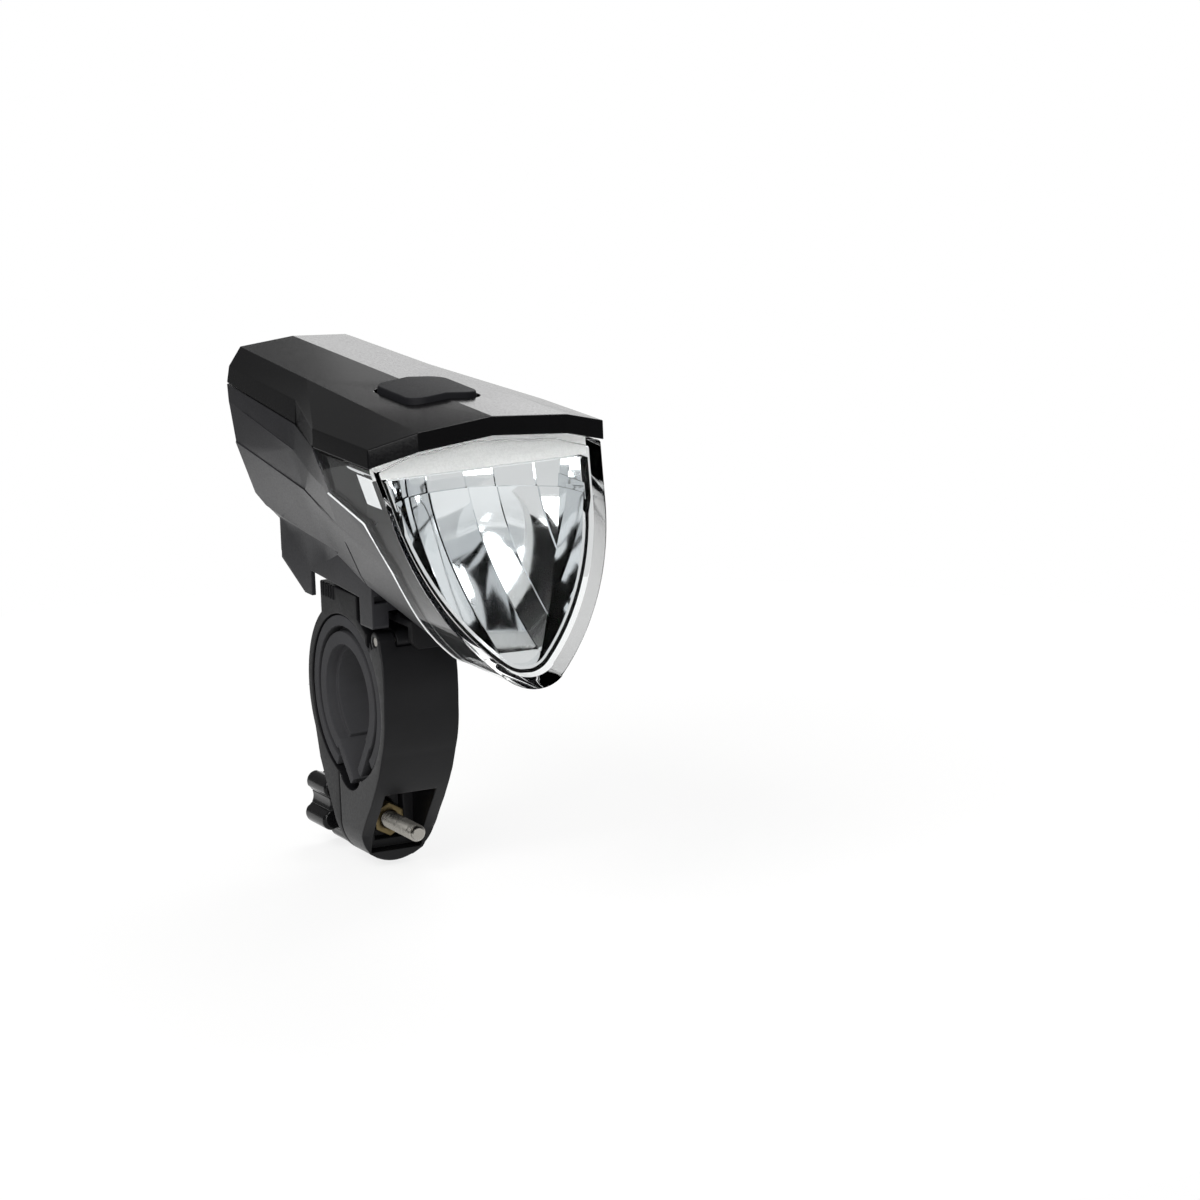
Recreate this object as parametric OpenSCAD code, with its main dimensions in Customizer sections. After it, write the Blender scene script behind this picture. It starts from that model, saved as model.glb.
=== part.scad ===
// Battery headlight for a bicycle handlebar.
// The origin is on the bar axis at the middle of the clamp. X runs along the bar,
// the light shines along -Y and Z points up. All sizes are in millimetres.

/* [Clamp] */
// Diameter of the handlebar that the inner liner grips
bar_d = 22.2; // [21:0.1:23.4]
// Outside radius of the clamp ring
ring_r = 21.6; // [21.2:0.1:22.4]
// Thickness of the clamp band
band_t = 2.4; // [2:0.1:2.6]
// Width of the clamp along the bar
clamp_w = 18.4; // [17:0.1:20]
// Depth of the clamp screw below the bar axis
screw_drop = 29.6; // [29:0.1:31]
// Thread diameter of the clamp screw
screw_d = 4; // [3.6:0.1:4.4]
// Length of the screw in front of the split between the jaws
screw_out = 22.8; // [18:0.2:26]
// Distance of the split between the jaws behind the bar axis
split_y = 6; // [5.5:0.1:6.8]
// Radius of the knob over its lobes
knob_r = 9.8; // [9:0.1:10.6]
// Number of lobes on the knob
knob_lobes = 6; // [5:1:8]
// Length of the knob along the screw
knob_l = 11; // [9:0.1:13]

/* [Slide rail and latch] */
// Width of the head of the rail
rail_w = 16; // [14.6:0.1:16.6]
// Length of the rail
rail_l = 20.6; // [18:0.2:21.4]
// Height of the underside of the rail head above the bar axis
rail_z = 30.3; // [30:0.1:30.6]
// Width of the release tab
tab_w = 9.2; // [8:0.1:10.4]
// Distance of the front of the release tab in front of the bar axis
tab_y = 28.4; // [26.8:0.1:30]
// Height of the release tab
tab_h = 6.6; // [5:0.1:7.4]

/* [Lamp body] */
// Distance of the rear face behind the bar axis
rear_y = 43; // [42.8:0.1:46]
// Height of the ridge above the bar axis at the rear
ridge_z = 76.1; // [75.6:0.1:77.5]
// Fall of the roof from the rear to the front of the hood
roof_fall = 1.85; // [1:0.05:2.2]
// Half width of the two top panels at the rear
roof_w_rear = 13.3; // [12:0.1:14]
// Half width of the two top panels at the front
roof_w = 17.7; // [16.5:0.1:19]
// Half width of the body at the rear
rear_w = 17; // [16.8:0.1:18]
// Half width of the hood
hood_w = 28.1; // [27.8:0.1:29.2]
// Distance of the front edge of the hood in front of the bar axis
hood_y = 66.6; // [64.5:0.1:68]
// Height of the front lip of the hood
lip_t = 4.3; // [3.6:0.1:4.8]
// Wall thickness of the moulded shells
wall = 1.6; // [1.3:0.05:1.8]
// Gap between the cover and the body
seam_gap = 0.3; // [0.25:0.05:0.5]
// Half width of the slide channel
channel_w = 10.6; // [10.4:0.1:11.2]

/* [Button] */
// Width of the button across the ridge
button_w = 17.6; // [15:0.1:19]
// Length of the button along the ridge
button_l = 22.4; // [19:0.1:25]
// Height of the button over the roof
button_h = 1.2; // [0.8:0.1:1.6]
// Travel of the button
button_travel = 0.6; // [0.4:0.05:0.7]

/* [Lens and reflector] */
// Distance of the sides of the lens inside the edge of the hood
lens_in = 0.8; // [0.5:0.1:1.3]
// Lean of the straight upper sides of the lens
lens_lean = 9.4; // [8.6:0.1:10.2]
// Radius of the side curves of the lens
lens_side_r = 55.5; // [53:0.5:58]
// Radius of the chin of the lens
lens_tip_r = 10.5; // [9:0.1:12]
// Wall thickness of the lens
lens_t = 2; // [1.6:0.1:2.4]
// Rake of the front face of the lens
face_rake = 24.6; // [22:0.2:26]
// Length of the side windows behind the rim of the lens
side_l = 25; // [22:0.2:26]
// Diameter of a battery cell
cell_d = 14.3; // [13.8:0.1:14.5]
// Length of a battery cell
cell_l = 50.3; // [49.5:0.1:50.5]

/* [Hidden] */
$fn = 96;
// Thickness of the slices that the shells are lofted between
slice = 0.02;
// Clearances: free movement, running fit, and pieces that rest on each other
free = 0.3;
run = 0.06;
seat = 0.03;
// Long cutters
far = 200;

// Clamp
bore_r = ring_r - band_t;
liner_r = bore_r - free;
liner_t = 2.5;
liner_w = clamp_w - 2 * free;
tail_t = 2.2;
inner_r = liner_r - liner_t - seat;
grip_r = bar_d / 2 + 0.05;
end_r = inner_r - 1.2;
end_hole_r = grip_r + 1;
land_w = clamp_w - 6;
outer_gap = [-66, -130];
inner_gap = [-62, -140];
ear_r = clamp_w / 2;
seat_y = split_y + 10;
nut_af = screw_d * 1.75;
nut_t = screw_d * 0.8;
nut_back_y = split_y - 3.4;
washer_t = 0.8;
screw_head_y = seat_y + washer_t + knob_l - 2;
pin_y = -18;
pin_z = 16.3;
pin_r = 1;
knuckle_r = 2.3;
knuckle_w = 9.6;
ring_end_y = -13;
jaw_end_y = -14.7;
open_slot = 2.2;
ear_foot_z = -screw_drop - ear_r - 1;

// Rail and latch
neck_z = 25.2;
neck_rear_y = 12.2;
neck_front_y = -8.4;
rail_rear_y = 12.2;
rail_front_y = rail_rear_y - rail_l;
head_t = 2;
stem_w = 11.2;
slot_front_y = -9;
tongue_z = 20.6;
tongue_t = 1.8;
tab_t = 2.2;
tooth_y = -22;
post_y0 = -13.5;
post_y1 = -20.7;
post_in = 6.6;
post_z = 19.7;
tooth_h = 0.9;
web_z = tongue_z + tongue_t + tooth_h + free;
lip_rear_z = 28;
lip_front_z = 25.9;
skid_z = 21.4;
channel_rear_y = 30.6;

// Roof line at the front and at any station along the body
roof_len = rear_y + hood_y;
function along(y) = (rear_y - y) / roof_len;
function ridge_at(y) = ridge_z - roof_fall * along(y);
function kink_w(y) = roof_w_rear + (roof_w - roof_w_rear) * along(y);
function kink_z(y) = ridge_at(y) - 1.05 - 0.55 * along(y);
corner_z = ridge_at(-hood_y) - 4.75;
corner_y = -62.9;
wing_y = -33;
waist_y = 0;
wing_drop = 4.5;
seam_rear_z = 67.1;
seam_waist_z = 64.4;
wing_seam_z = corner_z - wing_drop;

function sym(h) = concat(h, [for (i = [len(h) - 1:-1:0]) if (h[i][0] > 0) [-h[i][0], h[i][1]]]);

// Cover sections: ridge, kink, shoulder, seam
cov_rear = [[0, ridge_z], [roof_w_rear, kink_z(rear_y)], [rear_w - 0.7, 70.9], [rear_w, seam_rear_z]];
cov_waist = [[0, ridge_at(waist_y)], [kink_w(waist_y), kink_z(waist_y)], [rear_w + 1, 69.5],
    [rear_w + 1.5, seam_waist_z]];
cov_wing = [[0, ridge_at(wing_y)], [kink_w(wing_y), kink_z(wing_y)], [hood_w, corner_z],
    [hood_w, wing_seam_z]];
cov_corner = [[0, ridge_at(corner_y)], [kink_w(corner_y), kink_z(corner_y)], [hood_w, corner_z],
    [hood_w, wing_seam_z]];
cov_nose = [[0, ridge_at(-hood_y)], [roof_w, kink_z(-hood_y)], [roof_w, wing_seam_z]];
lip_w = 2.4;
cov_open_z = 55;
function cov_in(c, side) = [[0, c[0][1] - wall], [c[1][0] - wall * 0.4, c[1][1] - wall],
    [c[2][0] - side, c[2][1] - wall * 0.5], [c[3][0] - side, cov_open_z]];

// Half width of the lens under the hood
lens_w = hood_w - lens_in;

// Body sections: seam, upper crease, lower crease, foot
body_rear = [[rear_w, seam_rear_z - seam_gap], [rear_w - 0.4, 62.7], [rear_w - 1.4, 53], [channel_w + 0.7, 40.5]];
body_keel = [[rear_w + 0.45, 66.3 - seam_gap], [rear_w + 0.4, 61.6], [rear_w - 0.9, 52],
    [channel_w - 0.2, 36.2]];
body_waist = [[rear_w + 1.5, seam_waist_z - seam_gap], [rear_w + 2, 58.7], [rear_w, 49],
    [channel_w - 0.2, 34.2]];
body_front = [[lens_w + 0.6, wing_seam_z - seam_gap], [lens_w - 1.7, 58], [lens_w - 7, 45.3], [channel_w + 1.4, 30.5]];
front_tilt = 19.4;
front_y = -21;
front_z = 30.5;
keel_y = 30.5;
open_z = 74;
function body_in(b) = [[b[0][0] - wall, open_z], [b[1][0] - wall, b[1][1]], [b[2][0] - wall, b[2][1] + wall * 0.3],
    [b[3][0] - wall * 0.8, b[3][1] + wall]];

// Lens outline: straight upper sides, two side curves and a round chin
lens_hood_z = 65;
lens_turn_z = 52.9;
lens_cx = lens_side_r * cos(lens_lean) - lens_w + (lens_hood_z - lens_turn_z) * tan(lens_lean);
lens_cz = lens_turn_z + lens_side_r * sin(lens_lean);
tip_drop = sqrt(pow(lens_side_r - lens_tip_r, 2) - pow(lens_cx, 2));
tip_z = lens_cz - tip_drop;
face_y = -63.3;
face_z = 65;
rim_top_z = wing_seam_z - seam_gap;

// Rear edge of the lens seen from the side: under the hood, along the side window, down to the chin
rim_y = -59.6;
side_y = rim_y + side_l;
side_top_y = side_y + 3.5;
side_low_z = 55.1;
bend_y = rim_y + 7.5;
bend_z = 51.1;
knee_z = 41;
chin_z = 34;
rim_line = [[side_top_y, far], [side_top_y, rim_top_z], [side_y, side_low_z], [bend_y, bend_z],
    [rim_y, knee_z], [rim_y, chin_z], [rim_y + 10, 0]];
lens_roof_y = -46;
brow_z = 62;
deck_z = 61.2;
deck_t = 1.2;
shell_t = 1.2;
face_gap = 6.4;
brow_back = 3.6;
brow_t = 1.6;
bowl_front = 5;
bowl_rim = 1.8;
bowl_y = -54;
bowl_z = 48.5;
bowl_r = lens_w - 9.7;
bowl_rear_y = -37.5;
bowl_rear_z = 54;
bowl_rear_r = 9;

// Inside of the lamp
cell_gap = 0.2;
cell_x = cell_d / 2 + cell_gap / 2;
cell_z = 58.6;
cell_low_z = cell_z - sqrt(pow(cell_d + cell_gap, 2) - pow(cell_x, 2));
cell_places = [[-cell_x, cell_z], [cell_x, cell_z], [0, cell_low_z]];
plate_t = 0.4;
plate_w = 6;
plate_h = 7;
leaf_t = 0.4;
bay_rear_y = rear_y - wall - seat;
spring_l = 8.2;
spring_w = 5;
cell_rear_y = bay_rear_y - plate_t - spring_l;
cell_front_y = cell_rear_y - cell_l;
bay_front_y = cell_front_y - 1.6;
web_t = 1.8;
board_z = 65.4;
board_t = 1.6;
board_w = 24;
board_screw_x = board_w / 2 - 4;
board_screw_r = 0.8;
screw_in = 4.6;
board_front_y = -37;
board_web_y = -31;
board_rear_y = bay_front_y - web_t;
button_y = -32.2;
switch_h = 3.4;
plunger_h = 0.9;
led_y = -50;
led_w = 5.2;
led_board_w = 14;
led_board_l = 12;
led_board_t = 1.5;
led_board_z = deck_z + deck_t + seat;

// Profile in Y and Z, drawn out along X
module across(w) {
    rotate([90, 0, 90])
        linear_extrude(w, center = true)
            children();
}

// Profile in X and Z, drawn out from y0 towards the front
module along_y(y0, len) {
    translate([0, y0, 0])
        rotate([90, 0, 0])
            linear_extrude(len)
                children();
}

// Round bar along X, along Y or upright
module bar_x(y, z, r, w) {
    translate([0, y, z])
        rotate([0, 90, 0])
            cylinder(r = r, h = w, center = true);
}

module bar_y(y0, len, x, z, r) {
    translate([x, y0, z])
        rotate([90, 0, 0])
            cylinder(r = r, h = len);
}

module bar_z(x, y, z0, h, r) {
    translate([x, y, z0])
        cylinder(r = r, h = h);
}

// Thin slice of a section at one station, upright or tilted
module station(y, h) {
    along_y(y, slice)
        polygon(sym(h));
}

module tilted(y, z, tilt) {
    translate([0, y, z])
        rotate([90 + tilt, 0, 0])
            linear_extrude(slice)
                scale([1, 1 / cos(tilt)])
                    translate([0, -z])
                        children();
}

// Lens outline in X and Z, set in by i; the straight sides cut the side curves a slice deep, so they join cleanly
module shield(i) {
    r = lens_side_r - i;
    turn_x = r * cos(lens_lean) - lens_cx - slice;
    turn_z = lens_cz - r * sin(lens_lean);
    top_x = turn_x + (far - turn_z) * tan(lens_lean);
    join_z = lens_cz - r * tip_drop / (lens_side_r - lens_tip_r);
    intersection() {
        translate([-lens_cx, lens_cz])
            circle(r);
        translate([lens_cx, lens_cz])
            circle(r);
        translate([-far / 2, join_z])
            square([far, lens_cz - join_z]);
    }
    polygon([[turn_x, turn_z], [top_x, far], [-top_x, far], [-turn_x, turn_z]]);
    translate([0, tip_z])
        circle(lens_tip_r - i);
}

// Everything under the roof line, lowered by d
module under_roof(d) {
    reach = hood_w + 4;
    edge_z = corner_z - (kink_z(-hood_y) - corner_z) * 4 / (hood_w - roof_w);
    polygon(sym([[0, ridge_at(-hood_y) - d], [roof_w, kink_z(-hood_y) - d], [reach, edge_z - d], [reach, 0]]));
}

// Space behind the raked lens face, and space in front of the rear edge of the lens
module behind_face(back) {
    translate([0, face_y, face_z])
        rotate([-face_rake, 0, 0])
            translate([-far / 2, back, -far / 2])
                cube([far, far, far]);
}

module ahead_of_rim(gap) {
    across(far)
        polygon(concat([for (p = rim_line) [p[0] - gap, p[1] + gap]], [[-far, 0], [-far, far]]));
}

// Rear jaw with the neck and the slide rail, one moulding
module bracket() {
    shoulder = [ring_r - 4.6, -17.3];
    ear_t = 2.6;
    boss_r = ear_r - 3;
    rib_r = 0.28;
    rib_h = 3.2;
    rib_step = 1.4;
    root = 2;
    color("#232326")
    difference() {
        union() {
            difference() {
                intersection() {
                    union() {
                        bar_x(0, 0, ring_r, clamp_w);
                        across(clamp_w)
                            polygon([[0, 0], [ring_r, -1], shoulder, [split_y + ear_t, -screw_drop - ear_t],
                                [split_y + ear_t, ear_foot_z], [split_y, ear_foot_z]]);
                        bar_y(seat_y, seat_y - split_y, 0, -screw_drop, boss_r);
                    }
                    ear_outline();
                }
                translate([-far / 2, split_y + free - far, -far])
                    cube([far, far, far]);
                translate([-far / 2, ring_end_y - far, -1])
                    cube([far, far, far]);
            }
            translate([-clamp_w / 2, neck_front_y, bore_r - root])
                cube([clamp_w, neck_rear_y - neck_front_y, neck_z - bore_r + root]);
            for (i = [0:4])
                for (s = [-1, 1])
                    bar_z(s * clamp_w / 2, neck_rear_y - root - i * rib_step, neck_z - rib_h, rib_h, rib_r);
            translate([-stem_w / 2, rail_front_y, neck_z - root])
                cube([stem_w, rail_l, rail_z - neck_z + root + head_t / 2]);
            translate([-rail_w / 2, rail_front_y, rail_z])
                cube([rail_w, rail_l, head_t]);
            across(knuckle_w)
                polygon([[pin_y, pin_z + knuckle_r], [neck_front_y, bore_r + 0.9], [neck_front_y, bore_r - 1],
                    [ring_end_y, bore_r * 0.76], [pin_y, pin_z - knuckle_r]]);
            bar_x(pin_y, pin_z, knuckle_r, knuckle_w);
        }
        bar_x(0, 0, bore_r, far);
        bar_x(pin_y, pin_z, pin_r + run, far);
        bar_y(far / 2, far, 0, -screw_drop, screw_d / 2 + run);
    }
}

// Outline of the ears seen along the screw: straight sides with a round bottom
module ear_outline() {
    along_y(far / 2, far) {
        translate([-clamp_w / 2, -screw_drop])
            square([clamp_w, far]);
        translate([0, -screw_drop])
            circle(ear_r);
    }
}

// Front jaw with the nut pocket, hinged to the bracket at the top
module front_jaw() {
    toe = [-2.4, ear_foot_z];
    cheek = [[-5.1, -31.6], [-8.3, -27.2], [-11.5, -23.2], [-14.5, -18.9], [-16.8, -15.2], [-18.7, -11],
        [-20.3, -6.4], [-21.2, -2.8], [-ring_r, 0]];
    chest = [[-ring_r, 0.1], [-21.9, 4], [-21.9, 8], [-21.4, 12.5]];
    tail_room_r = 6.8;
    tail_room_z = -14.6;
    pocket_side = 3;
    pocket_low = 6.4;
    pocket_high = 9;
    nut_floor = 2.6;
    color("#29292c")
    difference() {
        union() {
            intersection() {
                union() {
                    bar_x(0, 0, ring_r, clamp_w);
                    across(clamp_w)
                        polygon(concat([[split_y, 0], [split_y, ear_foot_z], toe], cheek));
                }
                ear_outline();
                union() {
                    translate([-far / 2, split_y - far, -far])
                        cube([far, far, far]);
                    translate([-far / 2, jaw_end_y - far, -1])
                        cube([far, far, far]);
                }
            }
            across(clamp_w)
                polygon(concat(chest, [[pin_y - knuckle_r, pin_z], [pin_y, pin_z],
                    [jaw_end_y - 1, pin_z - knuckle_r - 0.4], [jaw_end_y - 2, 10]]));
            bar_x(pin_y, pin_z, knuckle_r, clamp_w);
        }
        bar_x(0, 0, bore_r, far);
        bar_x(0, tail_room_z, tail_room_r, far);
        translate([-knuckle_w / 2 - free, pin_y - knuckle_r - free, pin_z - knuckle_r - free])
            cube([knuckle_w + 2 * free, ring_r, ring_r]);
        bar_x(pin_y, pin_z, pin_r + run, far);
        translate([-ear_r + pocket_side, nut_back_y - nut_floor - far, -screw_drop - pocket_low])
            cube([clamp_w - 2 * pocket_side, far, pocket_low + pocket_high]);
        translate([-nut_af / 2 - run, nut_back_y - far / 2, -screw_drop - nut_af * 0.62])
            cube([nut_af + 2 * run, far / 2, nut_af * 1.24 + open_slot]);
        bar_y(far / 2, far, 0, -screw_drop, screw_d / 2 + free);
        translate([-screw_d / 2 - free, 0, -screw_drop])
            cube([screw_d + 2 * free, far, open_slot]);
        bar_y(far / 2, far, 0, -screw_drop + open_slot, screw_d / 2 + free);
    }
}

// Steel pin of the jaw hinge
module hinge_pin() {
    color("#b5b7ba")
    bar_x(pin_y, pin_z, pin_r, clamp_w - 0.4);
}

// Open rubber ring that fills the clamp for a thinner bar
module outer_liner() {
    color("#3a3a3c")
    difference() {
        bar_x(0, 0, liner_r, liner_w);
        bar_x(0, 0, liner_r - liner_t, far);
        bottom_gap(outer_gap[0], outer_gap[1]);
    }
}

// Wedge below the bar between two directions, for the gap in a liner
module bottom_gap(a0, a1) {
    across(far)
        polygon([[0, 0], [far * cos(a0), far * sin(a0)], [0, -far], [far * cos(a1), far * sin(a1)]]);
}

// Second rubber ring inside the first, with two tails that hang in the gap
module inner_liner() {
    color("#56565a")
    difference() {
        union() {
            difference() {
                union() {
                    bar_x(0, 0, end_r, liner_w);
                    bar_x(0, 0, inner_r, land_w);
                }
                bottom_gap(inner_gap[0], inner_gap[1]);
            }
            tail(0.54 * grip_r, -1.07 * grip_r, -40, 0.9 * grip_r);
            tail(-grip_r, -0.7 * grip_r, 36, grip_r);
        }
        bar_x(0, 0, grip_r, far);
        for (s = [-1, 1])
            translate([s * (land_w / 2 + far / 2), 0, 0])
                bar_x(0, 0, end_hole_r, far);
    }
}

// Flat tail of the inner liner, hanging from one point and turned about the bar direction
module tail(y, z, turn, len) {
    translate([0, y, z])
        rotate([turn, 0, 0])
            translate([-liner_w / 2, -tail_t / 2, -len])
                cube([liner_w, tail_t, len + 1]);
}

// Springy tongue with the thumb tab that lets the lamp slide off, with a round root to bend about
module release_latch() {
    top_z = tongue_z + tongue_t;
    root_r = tongue_t / 2;
    root_y = neck_front_y - free - root_r;
    bevel = 2.2;
    tooth_l = 2.4;
    color("#2b2b2e")
    difference() {
        union() {
            bar_x(root_y, tongue_z + root_r, root_r, tab_w);
            translate([-tab_w / 2, -tab_y, tongue_z])
                cube([tab_w, tab_y + root_y, tongue_t]);
            translate([-tab_w / 2, -tab_y, top_z - tab_h])
                cube([tab_w, tab_t, tab_h]);
            across(tab_w)
                polygon([[tooth_y - tooth_l / 2, top_z - 0.2], [tooth_y + tooth_l / 2, top_z + tooth_h],
                    [tooth_y + tooth_l / 2, top_z - 0.2]]);
        }
        for (s = [-1, 1])
            translate([s * tab_w / 2, 0, top_z - tab_h])
                rotate([0, 45, 0])
                    cube([bevel, far, bevel], center = true);
    }
}

// Clamp screw with a chamfered end
module clamp_screw() {
    chamfer = 0.6;
    color("#b9b7ae")
    difference() {
        bar_y(screw_head_y, screw_head_y - split_y + screw_out, 0, -screw_drop, screw_d / 2);
        translate([0, split_y - screw_out, -screw_drop])
            rotate([90, 0, 0])
                difference() {
                    translate([0, 0, -chamfer + 0.1])
                        cylinder(r = screw_d, h = 1);
                    translate([0, 0, -chamfer])
                        cylinder(r1 = screw_d / 2 + 0.1, r2 = screw_d / 2 - chamfer + 0.1, h = chamfer);
                }
    }
}

// Hexagon nut in the pocket of the front jaw
module clamp_nut() {
    color("#b8a263")
    difference() {
        translate([0, nut_back_y - seat, -screw_drop])
            rotate([90, 30, 0])
                cylinder(r = nut_af / sqrt(3), h = nut_t, $fn = 6);
        bar_y(far / 2, far, 0, -screw_drop, screw_d / 2 + run);
    }
}

// Plain washer between the knob and the rear jaw
module knob_washer() {
    color("#a9abae")
    difference() {
        bar_y(seat_y + washer_t, washer_t - seat, 0, -screw_drop, screw_d * 1.1);
        bar_y(far / 2, far, 0, -screw_drop, screw_d / 2 + seat);
    }
}

// Star knob moulded on the screw
module clamp_knob() {
    lobe_r = knob_r * 0.24;
    hollow_r = knob_r * 0.3;
    lobe_turn = 35;
    step = 360 / knob_lobes;
    color("#1d1d1f")
    translate([0, seat_y + washer_t + seat, -screw_drop])
        rotate([-90, lobe_turn, 0])
            difference() {
                linear_extrude(knob_l)
                    difference() {
                        union() {
                            circle(knob_r - lobe_r);
                            for (i = [0:knob_lobes - 1])
                                rotate(i * step)
                                    translate([knob_r - lobe_r, 0])
                                        circle(lobe_r);
                        }
                        for (i = [0:knob_lobes - 1])
                            rotate((i + 0.5) * step)
                                translate([knob_r * 1.02, 0])
                                    circle(hollow_r);
                    }
                translate([0, 0, -1])
                    cylinder(r = screw_d / 2 + seat, h = knob_l - 1 + seat);
            }
}

// Lower body: faceted shell with the battery bay, the lens rim and the slide channel
module lower_housing() {
    color("#3e3e41")
    difference() {
        union() {
            body_form(body_rear, body_keel, body_waist, body_front, rear_y, 0);
            channel_block();
        }
        difference() {
            body_form(body_in(body_rear), body_in(body_keel), body_in(body_waist), body_in(body_front),
                rear_y - wall, lens_t + 0.2);
            bay_walls();
            translate([-far / 2, slot_front_y - 4, 0])
                cube([far, channel_rear_y - slot_front_y + 4, rail_z + head_t + free + wall]);
        }
        ahead_of_rim(0);
        translate([-rail_w / 2 - free, slot_front_y, rail_z - free])
            cube([rail_w + 2 * free, far, head_t + 2 * free]);
        translate([-stem_w / 2 - free, slot_front_y, 0])
            cube([stem_w + 2 * free, far, rail_z]);
        for (s = [-1, 1])
            bar_z(s * board_screw_x, board_rear_y + web_t / 2, board_z - screw_in - seat, screw_in + 1,
                board_screw_r + seat);
        body_slits();
        post_notches();
    }
}

// Open joint along the front edge of each lower side facet
module body_slits() {
    slit_w = 0.7;
    slit_in = 0.8;
    foot = body_front[3];
    run_up = 0.78 * (body_front[2] - foot);
    out = [run_up[1], -run_up[0]] / norm(run_up);
    for (m = [0, 1])
        mirror([m, 0, 0])
            translate([0, front_y, front_z])
                rotate([90 + front_tilt, 0, 0])
                    linear_extrude(slit_w)
                        translate([0, -foot[1]])
                            polygon([foot - slit_in * out, foot + out, foot + run_up + out,
                                foot + run_up - slit_in * out]);
}

// Small notch at the top of each front post
module post_notches() {
    notch_h = 1.7;
    notch_d = 2;
    skin = 0.7;
    for (m = [0, 1])
        mirror([m, 0, 0])
            translate([post_in + free, post_y1 - 1, lip_front_z - free])
                cube([channel_w - post_in - free - skin, notch_d + 1, notch_h]);
}

// Lofted body from the rear face to the lens rim
module body_form(rear, keel, waist, front, back_y, inset) {
    top = inset > 0 ? open_z : rim_top_z;
    hull() {
        station(back_y, rear);
        station(keel_y, keel);
        station(waist_y, waist);
    }
    hull() {
        station(waist_y, waist);
        tilted(front_y, front_z, front_tilt)
            polygon(sym(front));
    }
    hull() {
        tilted(front_y, front_z, front_tilt)
            polygon(sym(front));
        along_y(rim_y, slice)
            intersection() {
                shield(inset, $fn = 120);
                translate([-far / 2, 0])
                    square([far, top]);
            }
    }
}

// Slide channel under the body, with the rear skids, the front posts and their cross bar
module channel_block() {
    crown_z = 37;
    nose_z = 31;
    skid_t = channel_w - clamp_w / 2 - free;
    skid_y0 = 13.6;
    skid_y1 = 17.7;
    bar_t = 2.6;
    across(2 * channel_w)
        polygon([[channel_rear_y, crown_z], [channel_rear_y, lip_rear_z], [post_y1, lip_front_z - free],
            [post_y1, nose_z], [-8, 35.5]]);
    for (s = [-1, 1]) {
        translate([s * (channel_w - skid_t / 2), 0, 0])
            across(skid_t)
                polygon([[channel_rear_y, lip_rear_z + 1], [channel_rear_y + 0.1, lip_rear_z - 0.6],
                    [skid_y1, skid_z], [skid_y0, skid_z], [skid_y0, lip_rear_z]]);
        translate([s * (channel_w + post_in) / 2, 0, 0])
            across(channel_w - post_in)
                polygon([[post_y0, nose_z - 1], [post_y0, post_z], [post_y1 + 0.4, post_z], [post_y1, post_z + 0.6],
                    [post_y1, nose_z - 1]]);
    }
    translate([-post_in - 0.5, post_y1, web_z])
        cube([2 * post_in + 1, bar_t, nose_z - 1 - web_z]);
}

// Cross walls of the battery bay with saddles for the cells, and the wall under the control board
module bay_walls() {
    saddle_y = [bay_front_y + 10, cell_rear_y - 12];
    difference() {
        for (y = [bay_front_y - web_t, board_web_y])
            translate([-far / 2, y, 0])
                cube([far, web_t, board_z - seat]);
        cell_space();
    }
    difference() {
        for (y = saddle_y)
            translate([-far / 2, y, 0])
                cube([far, web_t, cell_z]);
        cell_space();
    }
}

// Room for the cells, open to the top
module cell_space() {
    r = cell_d / 2 + seat;
    for (p = cell_places) {
        bar_y(cell_rear_y + free, cell_l + 2 * free, p[0], p[1], r);
        translate([p[0] - r, cell_front_y - free, p[1]])
            cube([2 * r, cell_l + 2 * free, 2 * cell_d]);
    }
}

// Clear lens that wraps from the face round to the body rim
module lens() {
    color("#dfe6ea")
    difference() {
        lens_form(0, lip_t + free, 0, seat);
        lens_form(lens_t, lip_t + free + lens_t, lens_t, -20);
        translate([-lens_w + 2 * lens_t, lens_roof_y, side_low_z])
            cube([2 * lens_w - 4 * lens_t, far, far]);
    }
}

module lens_form(inset, drop, back, gap) {
    intersection() {
        along_y(waist_y, far)
            intersection() {
                shield(inset);
                under_roof(drop);
            }
        behind_face(back);
        ahead_of_rim(gap);
    }
}

// Chromed reflector bowl with a flange against the lens and a deck for the light source
module reflector() {
    flange_back = face_gap + shell_t;
    hole = led_w + 2;
    color("#cfd3d8")
    difference() {
        union() {
            intersection() {
                lens_form(lens_t + seat, lip_t + 2 * lens_t, face_gap, 0.2);
                under_deck();
                difference() {
                    behind_face(face_gap);
                    behind_face(flange_back);
                }
            }
            intersection() {
                bowl(0);
                behind_face(face_gap);
                under_deck();
            }
        }
        difference() {
            bowl(shell_t);
            translate([-far / 2, -far, deck_z])
                cube([far, 2 * far, far]);
        }
        translate([-hole / 2, led_y - hole / 2, 0])
            cube([hole, hole, far]);
    }
}

// Everything below the top of the deck
module under_deck() {
    translate([-far / 2, -far, 0])
        cube([far, 2 * far, deck_z + deck_t]);
}

// Bowl from the raked front through a round middle to the small rear end, set in by i
module bowl(i) {
    hull() {
        tilted(face_y + bowl_front - 2 * i, face_z, -face_rake)
            intersection() {
                shield(lens_t + bowl_rim + i, $fn = 64);
                translate([-far / 2, 0])
                    square([far, deck_z + bowl_front]);
            }
        bowl_ring(bowl_y, bowl_z, bowl_r - i);
    }
    hull() {
        bowl_ring(bowl_y, bowl_z, bowl_r - i);
        bowl_ring(bowl_rear_y - i, bowl_rear_z, bowl_rear_r - i);
    }
}

module bowl_ring(y, z, r) {
    along_y(y, slice)
        translate([0, z])
            circle(r, $fn = 48);
}

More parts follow.
